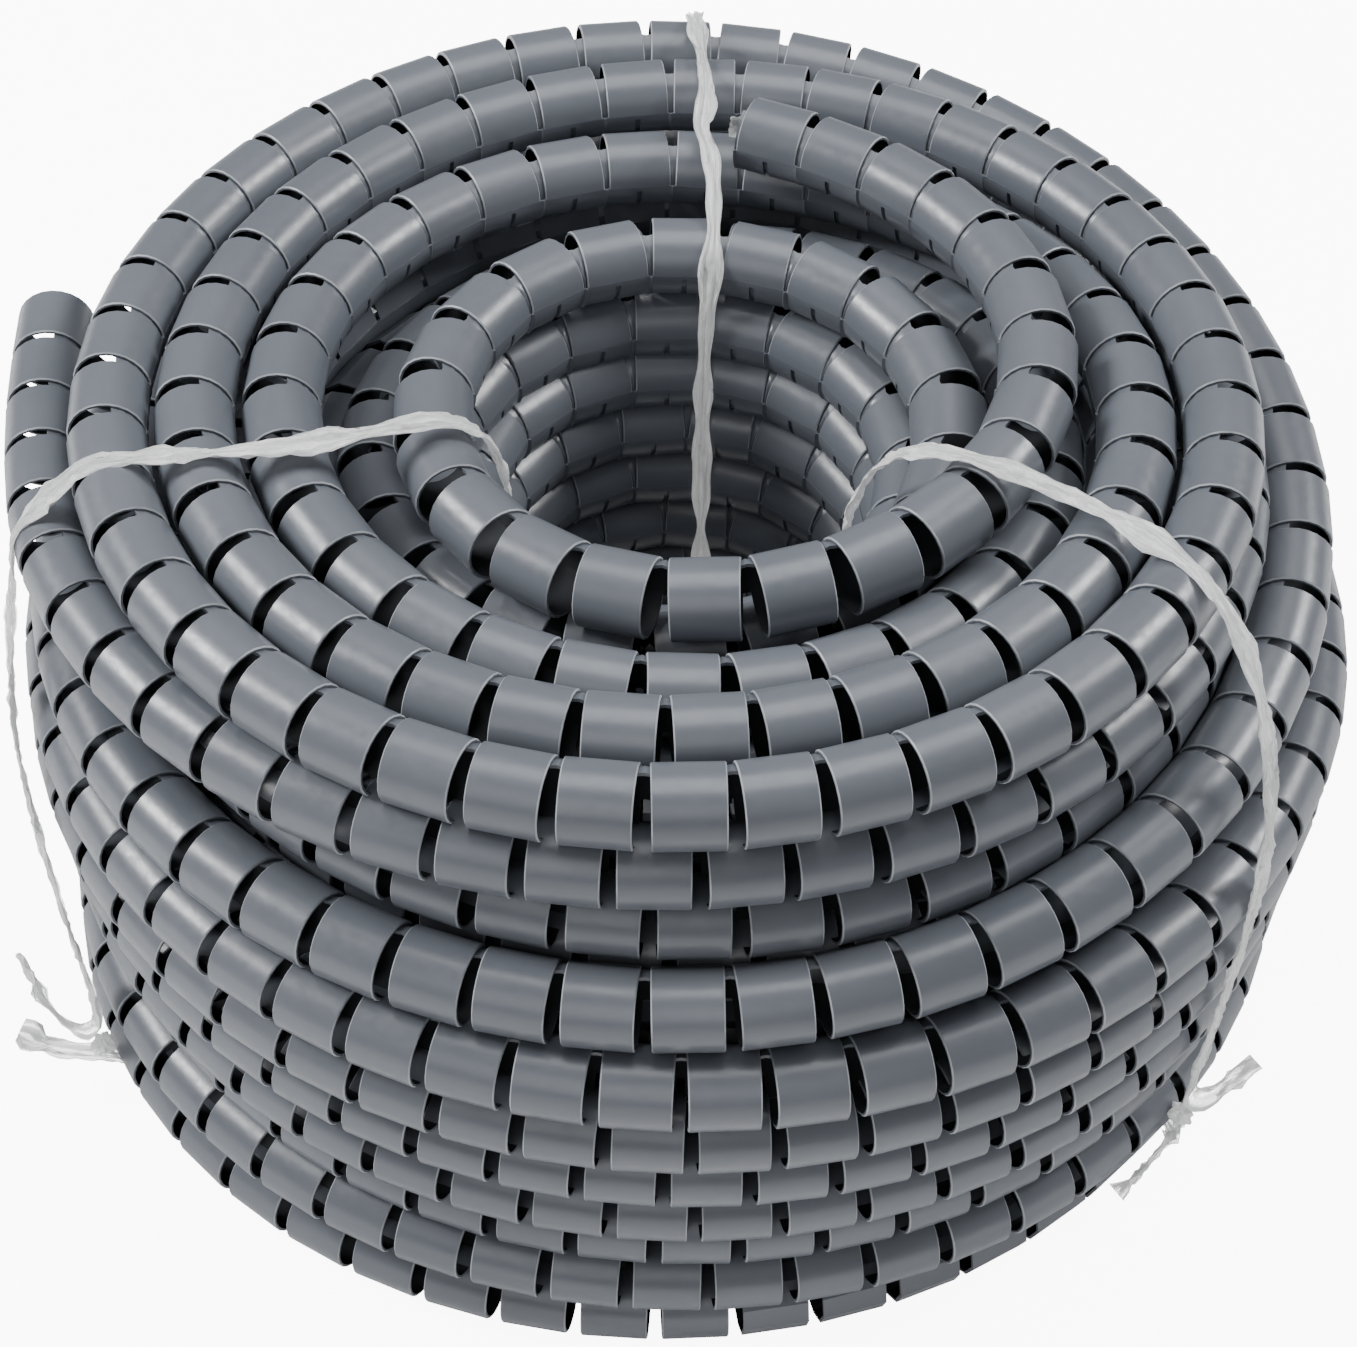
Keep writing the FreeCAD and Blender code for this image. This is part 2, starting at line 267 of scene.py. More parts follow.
def sheet_faces(rows, columns, hole=None):
    """Quads of a grid of points stored row by row, apart from those in a hole mask."""
    number = np.arange(rows * columns).reshape(rows, columns)
    quads = np.stack([number[:-1, :-1], number[:-1, 1:], number[1:, 1:], number[1:, :-1]], axis=-1)
    return quads.reshape(-1, 4) if hole is None else quads[~hole]


def shell_faces(rows, columns, hole=None):
    """A closed shell from two copies of a grid, outer first: both faces, and a rim wherever a kept quad
    has no neighbour. An edge that only one kept quad uses is an edge of the rim."""
    outer = sheet_faces(rows, columns, hole)
    half = rows * columns
    inner = outer[:, ::-1] + half
    edges = np.concatenate([outer[:, [k, (k + 1) % 4]] for k in range(4)])
    key = edges.min(axis=1) * half + edges.max(axis=1)
    _, first, times = np.unique(key, return_index=True, return_counts=True)
    rim = edges[first[times == 1]]
    rims = np.column_stack([rim[:, 1], rim[:, 0], rim[:, 0] + half, rim[:, 1] + half])
    return np.concatenate([outer, inner, rims])


def band_template(segments, bevel):
    """One band as a ring of cross-sections: a thin rectangle with its two outer edges bevelled, carried
    round the tube. Its depth grows by a little over one wall towards its last edge, under the lip."""
    angle = np.linspace(LIP_HIGH + LIP_LAP, FLAP_START - FLAP_LAP, segments + 1)
    half = BAND / 2
    if bevel:
        across = np.array([-half, -half, -half + EDGE, half - EDGE, half, half])
        depth = np.array([WALL, EDGE, 0.0, 0.0, EDGE, WALL])
    else:
        across = np.array([-half, -half, half, half])
        depth = np.array([WALL, 0.0, 0.0, WALL])
    sunk = TUCK * np.clip((-angle - TUCK_FROM) / TUCK_OVER, 0.0, 1.0)
    radius = TUBE / 2 - depth[None, :] - sunk[:, None]
    grid_angle = np.broadcast_to(angle[:, None], radius.shape)
    grid_across = np.broadcast_to(across[None, :], radius.shape)
    rows, columns = radius.shape
    number = np.arange(rows * columns).reshape(rows, columns)
    nxt = np.roll(number, -1, axis=1)
    quads = np.stack([number[:-1], number[1:], nxt[1:], nxt[:-1]], axis=-1).reshape(-1, 4)
    # material 1 on the bevels is the pale rim, partly painted highlight; material 2 on the inner face is
    # painted shade
    tone = np.tile([0, 1, 0, 1, 0, 2] if bevel else [0, 0, 0, 2], rows - 1)
    return grid_across.ravel(), grid_angle.ravel(), radius.ravel(), quads, tone, number[0], number[-1][::-1]


def new_piece(name, vertices, quads, caps=(), sharp=35.0, tone=None):
    """A mesh object from arrays of points and quads, smooth apart from edges that turn by more than an
    angle. tone is the number of the material of each quad."""
    mesh = bpy.data.meshes.new(name)
    loops = np.concatenate([quads.ravel()] + [np.ravel(cap) for cap in caps]).astype(np.int32)
    sizes = np.concatenate([np.full(len(quads), 4)] + [np.full(len(cap), cap.shape[1]) for cap in caps])
    mesh.vertices.add(len(vertices))
    mesh.vertices.foreach_set("co", np.ascontiguousarray(vertices, dtype=np.float32).ravel())
    mesh.loops.add(len(loops))
    mesh.loops.foreach_set("vertex_index", loops)
    mesh.polygons.add(len(sizes))
    mesh.polygons.foreach_set("loop_start", np.concatenate([[0], np.cumsum(sizes)[:-1]]).astype(np.int32))
    if tone is not None:
        index = np.zeros(len(sizes), dtype=np.int32)
        index[:len(tone)] = tone
        mesh.polygons.foreach_set("material_index", index)
    mesh.update(calc_edges=True)
    mesh.validate()
    mesh.shade_smooth()
    mesh.set_sharp_from_angle(angle=math.radians(sharp))
    piece = bpy.data.objects.new(name, mesh)
    bpy.context.scene.collection.objects.link(piece)
    return piece


# %% the three shells of a stretch of sleeve
def make_bands(first, last, fine):
    """The bands from one number to another, each a rigid copy of the template at the middle of its
    place."""
    across, angle, radius, quads, tone, head, tail = band_template(22 if fine else 9, fine)
    middle = (starts[first:last] + starts[first + 1:last + 1]) / 2
    point, forward, upward, inward = (part[:, None, :] for part in place(middle))
    rng = np.random.default_rng(first)
    nudge = rng.normal(0.0, 1.3, len(middle))[:, None]
    shift = rng.normal(0.0, 0.004 * TUBE, len(middle))[:, None]
    vertices = rounded(point, forward, upward, inward, across[None, :] + shift, angle[None, :] + nudge,
                       radius[None, :] + np.zeros((len(middle), 1)))
    base = np.arange(len(middle))[:, None, None] * len(across)
    caps = np.stack([head, tail])
    return (vertices.reshape(-1, 3), (quads[None] + base).reshape(-1, 4), np.tile(tone, len(middle)),
            (caps[None] + base).reshape(-1, len(head)))


def make_strip(first, last, offsets, angles, radius, slit_rows=0):
    """A strip that runs through all the bands: a grid of stops along the sleeve by angles round it. The
    first stop of each band is in the gap before it, and the others are at offsets from its middle, on
    its own straight frame, so that the strip bends in the gaps only. slit_rows of quads are left out at
    the middle of each band."""
    middle = (starts[first:last] + starts[first + 1:last + 1]) / 2
    place_at = np.column_stack([starts[first:last]] + [middle] * len(offsets)).ravel()
    place_at = np.append(place_at, starts[last])
    stops = len(offsets) + 1
    along = np.append(np.tile([0.0, *offsets], last - first), 0.0)[:, None]
    point, forward, upward, inward = (part[:, None, :] for part in place(place_at))
    angles = np.broadcast_to(np.asarray(angles, dtype=float)[None, :], (len(place_at), len(angles)))
    along = np.broadcast_to(along, angles.shape)
    layers = []
    for depth in (0.0, WALL):
        layers.append(rounded(point, forward, upward, inward, along, angles,
                              np.full(angles.shape, radius - depth)))
    vertices = np.concatenate([layer.reshape(-1, 3) for layer in layers])
    hole = np.zeros((len(place_at) - 1, angles.shape[1] - 1), dtype=bool)
    if slit_rows:
        hole[np.arange(len(place_at) - 1) % stops == stops // 2, :slit_rows] = True
    faces = shell_faces(len(place_at), angles.shape[1], hole)
    tone = np.zeros(len(faces), dtype=np.int32)
    kept = int((~hole).sum())
    # the inner face takes material 2, the painted shade
    tone[kept:2 * kept] = 2
    return vertices, faces, tone


def make_sleeve(name, first, last, fine):
    """A stretch of sleeve as one piece: its bands, its slit lip and its flap."""
    parts = [make_bands(first, last, fine)]
    half, slit = BAND / 2, SLIT / 2
    if fine:
        lip_angles = [*np.linspace(LIP_LOW, SLIT_HIGH, 5), LIP_HIGH]
        parts.append(make_strip(first, last, [-half, -slit, slit, half], lip_angles, TUBE / 2, slit_rows=4))
    else:
        parts.append(make_strip(first, last, [], [LIP_LOW, (LIP_LOW + LIP_HIGH) / 2, LIP_HIGH], TUBE / 2))
    flap_angles = np.linspace(FLAP_START, FLAP_END, 7 if fine else 3)
    flap_stops = [-half, half] if fine else []
    parts.append(make_strip(first, last, flap_stops, flap_angles, TUBE / 2 - TUCK))
    base, vertices, quads, caps = 0, [], [], []
    for part in parts:
        vertices.append(part[0])
        quads.append(part[1] + base)
        if len(part) > 3:
            caps.append(part[3] + base)
        base += len(part[0])
    tone = np.concatenate([part[2] for part in parts])
    return new_piece(name, np.concatenate(vertices), np.concatenate(quads), caps, tone=tone)


# %% wind the sleeve
A_HAIR = 0.001                    # a band that begins this close to a section's end belongs to the next
sleeves = []
station_turn = every_station[0][0]
turn_at = np.unwrap(np.arctan2(line[:, 1], line[:, 0])) / (2 * math.pi)
turn_at += station_turn - turn_at[0]
for name, stations, fine in SECTIONS:
    end_travel = np.interp(stations[-1][0], turn_at, travel)
    last = int(np.searchsorted(starts, end_travel - A_HAIR)) if stations is not top_turns else len(starts) - 1
    first = 0 if not sleeves else sleeves[-1][2]
    piece = make_sleeve(name, first, last, fine)
    sleeves.append((piece, first, last))
    print(name, "bands", last - first, "triangles", 2 * len(piece.data.polygons))

# %% [markdown]
# ## Finishes
# The sleeve is mid-grey plastic with a satin skin: it gets a slight bluish tint, broad faint changes
# of tone from one stretch to the next, a fine moulded grain and a faint ripple in its bump, and a few
# scuffs that make it rougher. The rims of the bands are paler, partly from moulding and rubbing and
# partly as a painted highlight, and the inner face is painted dark as painted shade for the inside of
# the sleeve. The patterns read Object coordinates, which are metres here, so their scales are real
# sizes.


# %% material helpers
def new_material(name):
    """An empty node material with its output, its main shader and its coordinates."""
    material = bpy.data.materials.new(name)
    material.use_nodes = True
    nodes, links = material.node_tree.nodes, material.node_tree.links
    shader = nodes["Principled BSDF"]
    where = nodes.new("ShaderNodeTexCoord")
    return material, nodes, links, shader, where.outputs["Object"]


def noise(nodes, links, where, scale, detail=3.0, roughness=0.5):
    """A noise pattern with a number of lumps per metre."""
    node = nodes.new("ShaderNodeTexNoise")
    node.inputs["Scale"].default_value = scale
    node.inputs["Detail"].default_value = detail
    node.inputs["Roughness"].default_value = roughness
    links.new(where, node.inputs["Vector"])
    return node.outputs["Fac"]


def remap(nodes, links, value, low, high, to_low, to_high):
    """Stretch one range of values onto another."""
    node = nodes.new("ShaderNodeMapRange")
    for socket, number in zip(("From Min", "From Max", "To Min", "To Max"), (low, high, to_low, to_high)):
        node.inputs[socket].default_value = number
    links.new(value, node.inputs["Value"])
    return node.outputs["Result"]


def two_tone(nodes, links, share, first, second):
    """A colour between two colours."""
    node = nodes.new("ShaderNodeMix")
    node.data_type = "RGBA"
    # A Mix node has several sockets of each name. The colours are numbers 6 and 7, and the result is 2.
    node.inputs[6].default_value = (*first, 1.0)
    node.inputs[7].default_value = (*second, 1.0)
    links.new(share, node.inputs[0])
    return node.outputs[2]


def bump(nodes, links, height, strength, distance, under=None):
    """A bump from a height pattern, on top of another bump if one is given."""
    node = nodes.new("ShaderNodeBump")
    node.inputs["Strength"].default_value = strength
    node.inputs["Distance"].default_value = distance
    links.new(height, node.inputs["Height"])
    if under is not None:
        links.new(under, node.inputs["Normal"])
    return node.outputs["Normal"]


# %% sleeve plastic
def sleeve_plastic():
    """The outside of the sleeve: satin grey plastic."""
    material, nodes, links, shader, where = new_material("sleeve_plastic")
    broad = remap(nodes, links, noise(nodes, links, where, 9.0, 2.0), 0.3, 0.7, 0.0, 1.0)
    grey = two_tone(nodes, links, broad, (0.096, 0.106, 0.125), (0.118, 0.129, 0.149))
    links.new(grey, shader.inputs["Base Color"])
    scuffs = noise(nodes, links, where, 260.0, 5.0, 0.65)
    links.new(remap(nodes, links, scuffs, 0.4, 0.75, 0.29, 0.42), shader.inputs["Roughness"])
    shader.inputs["Specular IOR Level"].default_value = 0.6
    grain = noise(nodes, links, where, 2600.0, 2.0)
    ripple = noise(nodes, links, where, 120.0, 2.0)
    fine = bump(nodes, links, grain, 0.10, 0.0002)
    links.new(bump(nodes, links, ripple, 0.12, 0.0008, fine), shader.inputs["Normal"])
    return material


def cut_edge():
    """The rims of the bands, where the plastic is pale partly from moulding and rubbing and partly as a
    painted highlight along them.
    """
    material, nodes, links, shader, where = new_material("sleeve_cut_edge_wear_and_highlight")
    wear_and_highlight = remap(nodes, links, noise(nodes, links, where, 90.0, 3.0), 0.35, 0.65, 0.0, 1.0)
    # partly painted highlight: the rims are coloured pale for the bright lines that light draws along them,
    # and partly moulding and rubbing wear
    pale = two_tone(nodes, links, wear_and_highlight, (0.22, 0.24, 0.26), (0.37, 0.39, 0.42))
    links.new(pale, shader.inputs["Base Color"])
    shader.inputs["Roughness"].default_value = 0.42
    return material


def sleeve_inside_painted_shade():
    """The inner face of the sleeve: duller, and darker than the plastic is, to stand for the shade in
    the slots."""
    material, nodes, links, shader, where = new_material("sleeve_inside_painted_shade")
    shade_mottle = remap(nodes, links, noise(nodes, links, where, 40.0, 3.0), 0.3, 0.7, 0.0, 1.0)
    # painted shade: the inner face is coloured near black to stand for the shade inside the sleeve and its
    # slots
    painted_shade = two_tone(nodes, links, shade_mottle, (0.022, 0.024, 0.028), (0.034, 0.037, 0.043))
    links.new(painted_shade, shader.inputs["Base Color"])
    shader.inputs["Roughness"].default_value = 0.7
    shader.inputs["Specular IOR Level"].default_value = 0.2
    return material


# the third finish paints shade on the inner faces
plastic, pale_edge_and_highlight, painted_shade_inside = sleeve_plastic(), cut_edge(), sleeve_inside_painted_shade()
for piece, _, _ in sleeves:
    for finish in (plastic, pale_edge_and_highlight, painted_shade_inside):
        piece.data.materials.append(finish)
    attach(piece, "root")
print("sleeve finishes:", plastic.name, pale_edge_and_highlight.name, painted_shade_inside.name)

# %% hide the imported sleeve and sample each stretch's line
POINTS_PER_STRETCH, BANDS_PER_STRETCH = 40, 24  # each stretch's line is sampled at 40 points for 24 bands
SPARE_POINTS = 200                # and these as well
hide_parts("sleeve_coil", "sleeve_outer_end")
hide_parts("sleeve_coil", "sleeve_top_end")
for piece, _, _ in sleeves[1:4]:
    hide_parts("sleeve_coil")
for number, (piece, first, last) in enumerate(sleeves):
    points = POINTS_PER_STRETCH * (last - first) // BANDS_PER_STRETCH + SPARE_POINTS
    stretch = place(np.linspace(starts[first], starts[last], points))[0]
    print(piece.name, "length", round(float(starts[last] - starts[first]), 3))

# %% [markdown]
# ## Film ties
# Three twists of stretch film hold the coil. Each is one strip of film that runs from a loose tail
# through a knot, under the coil, up the eye, over the top, down the outside, back to the knot and out
# to its other tail. It is a flattened tube carried along a smooth line. Its crumples are sine folds
# across it, and random waves change its width, twist and thickness. The line is then settled on the
# coil: wherever it runs into a turn of the sleeve it is pushed out to the surface.


# %% routes of the ties
def polar_points(rows):
    """Points from azimuth in degrees, and radius and height in tube diameters."""
    azimuth, radius, height = np.array(rows, dtype=float).T
    turn = np.radians(azimuth)
    return TUBE * np.column_stack([radius * np.cos(turn), radius * np.sin(turn), height])


def tie_line(share, tail_in, knot, under, up_the_eye, over_the_top, tail_out):
    """One tie: its width as a share of the tape's, its control points from one tail to the other, twice
    through its knot, and the place of the knot."""
    control = polar_points([*tail_in, knot, *under, *up_the_eye, *over_the_top, knot, *tail_out])
    return share, control, control[len(tail_in)]


def eye_side(azimuth):
    """The stretch of a tie that goes under the coil and up the eye, at one azimuth."""
    under = [(azimuth, 8.0, 0.03), (azimuth, 6.2, 0.02), (azimuth, 4.4, 0.02), (azimuth, 2.9, 0.03)]
    up = [(azimuth, 2.42, 0.35), (azimuth, 2.32, 1.6), (azimuth, 2.18, 3.2), (azimuth, 2.15, 4.8),
          (azimuth, 2.22, 6.4), (azimuth, 2.38, 7.8)]
    return under, up


left_under, left_up = eye_side(203)
right_under, right_up = eye_side(-34)
back_under, back_up = eye_side(84)
TIE_LINES = {
    "tie_left": tie_line(
        0.9,
        [(203.3, 9.75, 1.1), (204.4, 9.55, 0.9), (205.4, 9.3, 0.75), (206.3, 9.0, 0.75)], (206.8, 8.78, 0.95),
        [(206.6, 8.68, 0.4), *left_under], left_up,
        [(203, 2.5, 9.1), (202.6, 3.0, 9.75), (201.5, 3.9, 9.7), (199, 5.0, 9.6), (196.8, 6.1, 9.58),
         (194.3, 7.1, 9.55), (193.2, 7.6, 9.3), (193.0, 8.0, 8.95), (193.0, 8.35, 8.6), (193.8, 8.55, 8.0),
         (195.5, 8.8, 6.8), (198.5, 8.98, 5.6), (202, 8.95, 4.3), (205, 8.87, 2.9), (206.4, 8.75, 1.8)],
        [(205.8, 9.1, 1.12), (204.3, 9.3, 1.32), (202.6, 9.42, 1.65), (200.8, 9.5, 2.1)]),
    "tie_right": tie_line(
        0.9,
        [(-47.5, 8.35, 0.6), (-45, 8.45, 0.75), (-42.5, 8.5, 1.05)], (-40, 8.45, 1.35),
        [(-39.2, 8.4, 0.5), *right_under], right_up,
        [(-34, 2.6, 9.0), (-34, 3.2, 9.8), (-32.5, 4.1, 9.95), (-29.5, 5.2, 9.68), (-30.3, 6.3, 9.6),
         (-32.5, 7.3, 9.5), (-34.8, 8.0, 8.9), (-36, 8.45, 8.0), (-37.2, 8.75, 6.8), (-38.2, 8.8, 5.5),
         (-39, 8.72, 4.2), (-39.6, 8.6, 2.8)],
        [(-38, 8.62, 1.45), (-36, 8.8, 1.6), (-33.6, 8.95, 1.85)]),
    "tie_back": tie_line(
        0.72,
        [(80, 8.95, 1.3), (83.5, 9.0, 1.5), (86.5, 9.0, 1.8)], (89, 8.92, 2.1),
        [(89, 8.75, 0.9), (88, 8.6, 0.2), *back_under], back_up,
        [(82.5, 2.5, 8.9), (82.5, 3.0, 9.45), (85, 4.2, 9.45), (86.5, 5.4, 9.62), (88, 6.6, 9.58),
         (89, 7.6, 9.58), (89, 8.3, 9.15), (89, 8.65, 8.0), (89, 8.9, 6.6), (89, 8.98, 5.2), (89, 8.95, 3.8)],
        [(92, 9.05, 2.25), (95.5, 9.05, 2.5), (98.5, 9.0, 2.85)]),
}
for name, (_, control, _) in TIE_LINES.items():
    print(name, "control points", len(control))


# %% settle a line on the coil
SPACING = 0.004                   # between the points of the sleeve's line that a tie is held against
AROUND = line[::max(1, int(SPACING * len(line) / LENGTH))]
UNDER_COIL = 0.0018               # least height of a tie's middle line, as where it is under the coil
FLOOR_GAP = 0.0002                # no film comes nearer to the floor


def settle(point, clear=0.5 * TUBE + 0.0007, rounds=14):
    """Push a line out of the sleeve: each point nearer to the sleeve's middle line than the tube's
    radius moves straight out to it, then the line is smoothed a little, and so on. It stays above the
    floor."""
    point = point.copy()
    for turn in range(rounds):
        apart = (point ** 2).sum(axis=1)[:, None] + (AROUND ** 2).sum(axis=1)[None, :] - 2 * point @ AROUND.T
        nearest = AROUND[np.argmin(apart, axis=1)]
        gap = point - nearest
        distance = np.linalg.norm(gap, axis=1, keepdims=True)
        point = np.where(distance < clear, nearest + gap / distance * clear, point)
        point[:, 2] = np.maximum(point[:, 2], UNDER_COIL)
        if turn < rounds - 1:
            point[1:-1] = 0.5 * point[1:-1] + 0.25 * (point[:-2] + point[2:])
    return point


# %% the line of a tape
STEP_ALONG = 0.0035               # between the loops of points of a tape
SAME_PLACE = 1e-7                 # points nearer than this count as one
UPRIGHT = np.array([0.0, 0.0, 1.0])


def tape_line(name, control):
    """Even distances along a tie, and its settled points there."""
    raw = read_line(nurbs_line(name + "_line", control))
    raw = raw[np.append(True, np.linalg.norm(np.diff(raw, axis=0), axis=1) > SAME_PLACE)]
    far = running(raw)
    at = np.linspace(0.0, far[-1], int(far[-1] / STEP_ALONG))
    return at, settle(np.column_stack([np.interp(at, far, raw[:, axis]) for axis in range(3)]))


def tape_frame(point):
    """Two directions at each point of a tie: across, which is square to the line and as level as that
    allows, and lift, which is square to both."""
    forward = unit(np.gradient(point, axis=0))
    radial = unit(point * np.array([1.0, 1.0, 0.0]))
    across = unit(np.cross(UPRIGHT, radial))
    across = unit(across - forward * np.sum(across * forward, axis=1, keepdims=True))
    return across, np.cross(forward, across)


# %% crumpled tape
LOOSE_END = 0.035                 # length of a tail that widens and twists
FILM_BULK, BULK_SWING = 0.0009, 0.0006  # thickness of the crumpled strip, and how much it varies
AROUND_STRIP = 20                 # points in each loop
STREAKS_ALONG, STREAKS_ACROSS = 45.0, 4.5  # scale of the streaks, per metre and per half width


def mark_strip(tape, at, flat):
    """A UV map for the film's streaks: distance along the strip by place across it."""
    strip = np.broadcast_arrays(at[:, None] * STREAKS_ALONG, STREAKS_ACROSS * flat[None, :])
    strip = np.stack(strip, axis=-1).reshape(-1, 2)
    corner = np.empty(len(tape.data.loops), dtype=np.int32)
    tape.data.loops.foreach_get("vertex_index", corner)
    layer = tape.data.uv_layers.new(name="strip")
    layer.data.foreach_set("uv", strip[corner].astype(np.float32).ravel())


def make_tape(name, control, width, seed):
    """A strip of crumpled film: at each step along the line a flat loop of points is laid out, across
    the line by the width and through it by a small thickness, then lifted by folds that run along the
    strip and drift."""
    rng = np.random.default_rng(seed)
    at, point = tape_line(name, control)
    across, lift = tape_frame(point)
    loose = np.clip(1.0 - np.minimum(at, at[-1] - at) / LOOSE_END, 0.0, 1.0)

    def drift(rate):
        """A smooth random wave along the strip."""
        total = sum(np.sin(2 * math.pi * (at * rate * step + rng.random())) for step in (1.0, 1.7, 2.9))
        return total / 3

    twist = np.radians(18.0) * drift(7.0) + np.radians(50.0) * loose * drift(25.0)
    side = np.cos(twist)[:, None] * across + np.sin(twist)[:, None] * lift
    top = np.cos(twist)[:, None] * lift - np.sin(twist)[:, None] * across
    spread = width * (1.0 + 0.5 * drift(13.0) + 0.35 * loose)
    around = np.linspace(0.0, 2 * math.pi, AROUND_STRIP + 1)[:-1]
    flat, thick = np.cos(around), np.sin(around)
    folds = 0.10 * np.sin(9.0 * flat[None, :] + 5.0 * drift(14.0)[:, None]) * (1.0 - 0.5 * flat ** 2)
    folds = folds + 0.06 * np.sin(17.0 * flat[None, :] + 6.0 * drift(31.0)[:, None])
    sideways = 0.5 * spread[:, None] * flat
    upward = spread[:, None] * folds + 0.5 * (FILM_BULK + BULK_SWING * drift(40.0))[:, None] * thick
    vertices = point[:, None, :] + sideways[..., None] * side[:, None, :]
    vertices = vertices + upward[..., None] * top[:, None, :]
    vertices[..., 2] = np.maximum(vertices[..., 2], FLOOR_GAP)
    number = np.arange(len(at) * len(around)).reshape(len(at), len(around))
    nxt = np.roll(number, -1, axis=1)
    quads = np.stack([number[:-1], nxt[:-1], nxt[1:], number[1:]], axis=-1).reshape(-1, 4)
    ends = np.stack([number[0][::-1], number[-1]])
    tape = new_piece(name, vertices.reshape(-1, 3), quads, [ends[:1], ends[1:]], sharp=60.0)
    mark_strip(tape, at, flat)
    return tape, point, float(running(point)[-1])


# %% knots
SQUASH = 0.8                      # height of a knot as a share of its width


def make_knot(name, middle, size, seed):
    """A pinched knot of film: a ball whose radius is creased by waves round it and along it."""
    rng = np.random.default_rng(seed)
    down, round_it = np.linspace(0.0, math.pi, 18)[1:-1], np.linspace(0.0, 2 * math.pi, 29)[:-1]
    polar, azimuth = np.meshgrid(down, round_it, indexing="ij")
    phase = rng.random(4) * 2 * math.pi
    crease = 1.0 + 0.16 * np.sin(5 * azimuth + 2.5 * polar + phase[0])
    crease += 0.10 * np.sin(9 * azimuth - 4 * polar + phase[1])
    crease += 0.12 * np.sin(6 * polar + phase[2])
    radius = size * crease
    ball = np.stack([radius * np.sin(polar) * np.cos(azimuth), radius * np.sin(polar) * np.sin(azimuth),
                     SQUASH * radius * np.cos(polar)], axis=-1)
    rows, columns = polar.shape
    poles = size * np.array([[0.0, 0.0, SQUASH], [0.0, 0.0, -SQUASH]])
    vertices = np.concatenate([ball.reshape(-1, 3), poles]) + middle
    number = np.arange(rows * columns).reshape(rows, columns)
    nxt = np.roll(number, -1, axis=1)
    quads = np.stack([number[:-1], number[1:], nxt[1:], nxt[:-1]], axis=-1).reshape(-1, 4)
    north = np.stack([np.full(columns, rows * columns), number[0], nxt[0]], axis=-1)
    south = np.stack([np.full(columns, rows * columns + 1), nxt[-1], number[-1]], axis=-1)
    return new_piece(name, vertices, quads, [north, south], sharp=70.0)


# %% film finish
def film(name, low_alpha, high_alpha, tint, streaked):
    """Thin crumpled film. A fine pattern of creases sets its whiteness, gloss and bump, and a broad one
    sets how clear it is. On a strip both are streaks, long along it and fine across it, read from its UV
    map, and elsewhere they are lumps. A faint glow stands for the light that the folds scatter."""
    material, nodes, links, shader, where = new_material(name)
    if streaked:
        where = nodes["Texture Coordinate"].outputs["UV"]
    creases = noise(nodes, links, where, 1.0 if streaked else 330.0, 6.0, 0.7)
    cloud = noise(nodes, links, where, 0.5 if streaked else 120.0, 3.0)
    links.new(remap(nodes, links, cloud, 0.35, 0.62, low_alpha, high_alpha), shader.inputs["Alpha"])
    white = remap(nodes, links, creases, 0.4, 0.6, 0.0, 1.0)
    links.new(two_tone(nodes, links, white, tint, (0.97, 0.975, 0.98)), shader.inputs["Base Color"])
    links.new(remap(nodes, links, creases, 0.3, 0.7, 0.12, 0.4), shader.inputs["Roughness"])
    shader.inputs["Specular IOR Level"].default_value = 0.8
    links.new(bump(nodes, links, creases, 1.0, 0.0022), shader.inputs["Normal"])
    shader.inputs["Emission Color"].default_value = (1.0, 1.0, 1.0, 1.0)
    shader.inputs["Emission Strength"].default_value = 0.2
    return material


tie_film = film("tie_film", 0.42, 0.95, (0.80, 0.81, 0.83), True)
knot_film = film("knot_film", 0.85, 1.0, (0.80, 0.81, 0.83), False)
clear_film = film("clear_tape", 0.15, 0.55, (0.85, 0.86, 0.87), False)
print("film finishes:", tie_film.name, knot_film.name, clear_film.name)

# %% tie the coil
TAPE_WIDTH = 0.009
KNOT_RADIUS = 0.0042
for seed, (name, (share, control, knot_at)) in enumerate(TIE_LINES.items(), start=11):
    tape, along, length = make_tape(name + "_tape", control, share * TAPE_WIDTH, seed)
    knot = make_knot(name + "_knot", knot_at, KNOT_RADIUS, seed + 20)
    for piece, finish in ((tape, tie_film), (knot, knot_film)):
        piece.data.materials.append(finish)
        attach(piece, "root")
        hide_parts(name)
    print(name, "length", round(length, 3))

# %% [markdown]
# ## Scrap of tape
# A scrap of clear tape still hangs on the cut end of the top turn. It is a small curved sheet with
# crinkles, and Solidify gives it its thickness.


# %% scrap of tape
CLEAR_FILM = 0.00015              # thickness of the clear tape


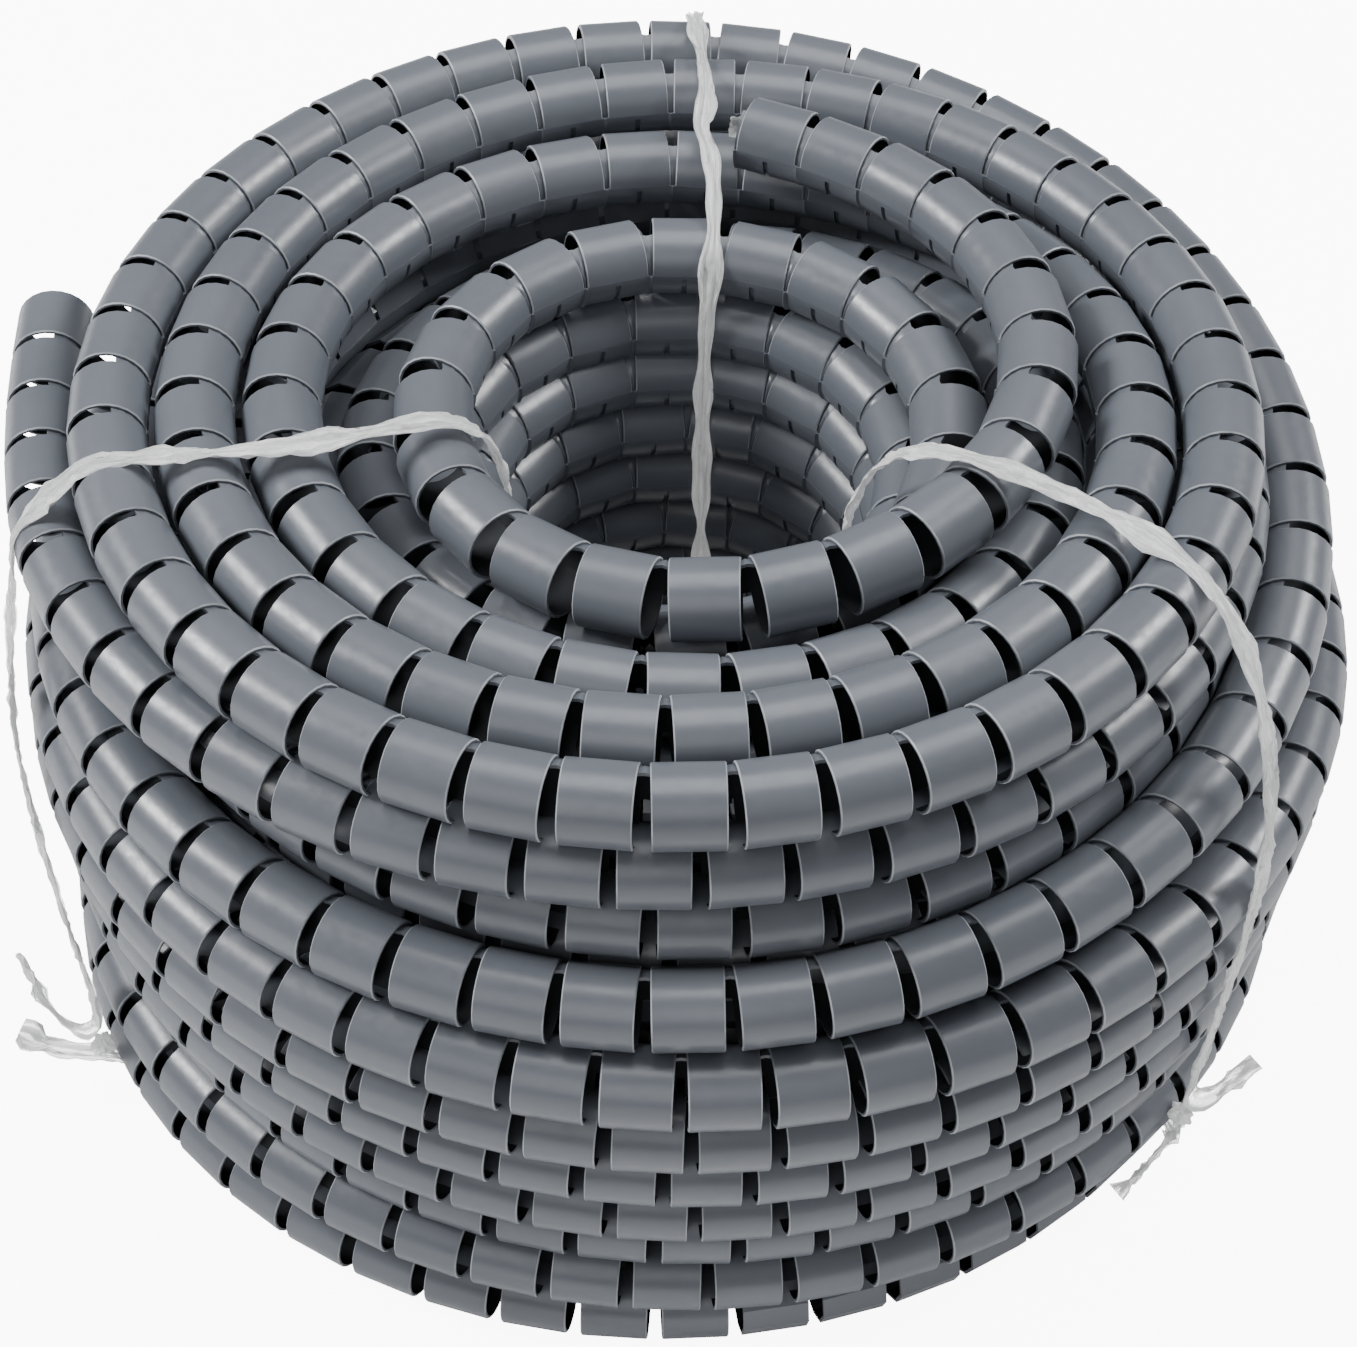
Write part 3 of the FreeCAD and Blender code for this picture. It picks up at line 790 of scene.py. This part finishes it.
def make_scrap():
    """A grid of points bowed along its length and crinkled by two crossing waves."""
    width, height = 0.010, 0.012
    across, up = np.meshgrid(np.linspace(-0.5, 0.5, 15), np.linspace(-0.5, 0.5, 19), indexing="ij")
    bow = 0.0016 * np.cos(math.pi * up)
    bow += 0.0005 * np.sin(19 * across + 6 * up) + 0.0004 * np.sin(23 * up - 5 * across)
    heading = unit(line[-1] - line[-12])
    aside = unit(np.cross(heading, UPRIGHT))
    ahead, beside, below, turn = 0.0038, 0.010, 0.006, 0.9
    middle = line[-1] + ahead * heading + beside * aside - below * UPRIGHT
    aside, heading = unit(aside - turn * heading), unit(heading + turn * aside)
    offset = np.stack([across * width, up * height, bow], axis=-1)
    vertices = middle + offset[..., :1] * aside + offset[..., 1:2] * UPRIGHT + offset[..., 2:] * heading
    scrap = new_piece("tape_scrap_film", vertices.reshape(-1, 3), sheet_faces(15, 19))
    skin = scrap.modifiers.new("thickness", "SOLIDIFY")
    skin.thickness = CLEAR_FILM
    scrap.data.materials.append(clear_film)
    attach(scrap, "root")
    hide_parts("tape_scrap")
    return scrap


print("scrap:", make_scrap().name)

# %% [markdown]
# ## Floor and light
# A plain pale floor, and soft studio light: one soft box on each side, a large one above, a weak broad
# one in front and a dim even surround, so that the slots and the eye stay dark. The floor glows
# brightly for the camera and only faintly for the rest of the scene, so that it looks white and
# doesn't light the coil from below.


# %% floor
def make_floor():
    """A wide pale floor just under the coil."""
    half, seen_glow, own_glow = 15.0, 9.0, 0.1
    corners = np.array([(-half, -half, 0.0), (half, -half, 0.0), (half, half, 0.0), (-half, half, 0.0)])
    floor = new_piece("floor", corners, np.array([[0, 1, 2, 3]]))
    material, nodes, links, shader, where = new_material("floor_pale")
    speckle = remap(nodes, links, noise(nodes, links, where, 40.0), 0.3, 0.7, 0.0, 1.0)
    pale = two_tone(nodes, links, speckle, (0.90, 0.90, 0.90), (0.93, 0.93, 0.93))
    links.new(pale, shader.inputs["Base Color"])
    shader.inputs["Roughness"].default_value = 0.9
    shader.inputs["Emission Color"].default_value = (1.0, 1.0, 1.0, 1.0)
    seen = nodes.new("ShaderNodeLightPath")
    glow = remap(nodes, links, seen.outputs["Is Camera Ray"], 0.0, 1.0, own_glow, seen_glow)
    links.new(glow, shader.inputs["Emission Strength"])
    floor.data.materials.append(material)
    return floor


print("floor:", make_floor().name)


# %% lights
def soft_box(name, position, target, size, power):
    """A large area light aimed at a point."""
    data = bpy.data.lights.new(name, "AREA")
    data.shape = "DISK"
    data.size = size
    data.energy = power
    lamp = bpy.data.objects.new(name, data)
    bpy.context.scene.collection.objects.link(lamp)
    lamp.location = position
    aim = np.array(target) - np.array(position)
    flat = math.hypot(aim[0], aim[1])
    lamp.rotation_euler = (math.atan2(flat, -aim[2]), 0.0, math.atan2(aim[1], aim[0]) - math.pi / 2)
    return lamp


world = bpy.data.worlds.new("surround")
world.use_nodes = True
background = world.node_tree.nodes["Background"]
background.inputs["Color"].default_value = (1.0, 1.0, 1.0, 1.0)
background.inputs["Strength"].default_value = 0.18
bpy.context.scene.world = world
lamps = [soft_box("left_light", (-1.7, 0.1, 1.5), (0.0, 0.0, 0.15), 0.7, 54.0),
         soft_box("right_light", (1.7, 0.5, 1.6), (0.0, 0.0, 0.15), 0.7, 42.0),
         soft_box("top_light", (0.1, 0.3, 2.2), (0.0, 0.0, 0.2), 1.6, 30.0),
         soft_box("front_light", (-0.5, -1.9, 1.4), (0.0, 0.0, 0.1), 1.6, 12.0)]
print("lights:", [(lamp.name, lamp.data.energy) for lamp in lamps])
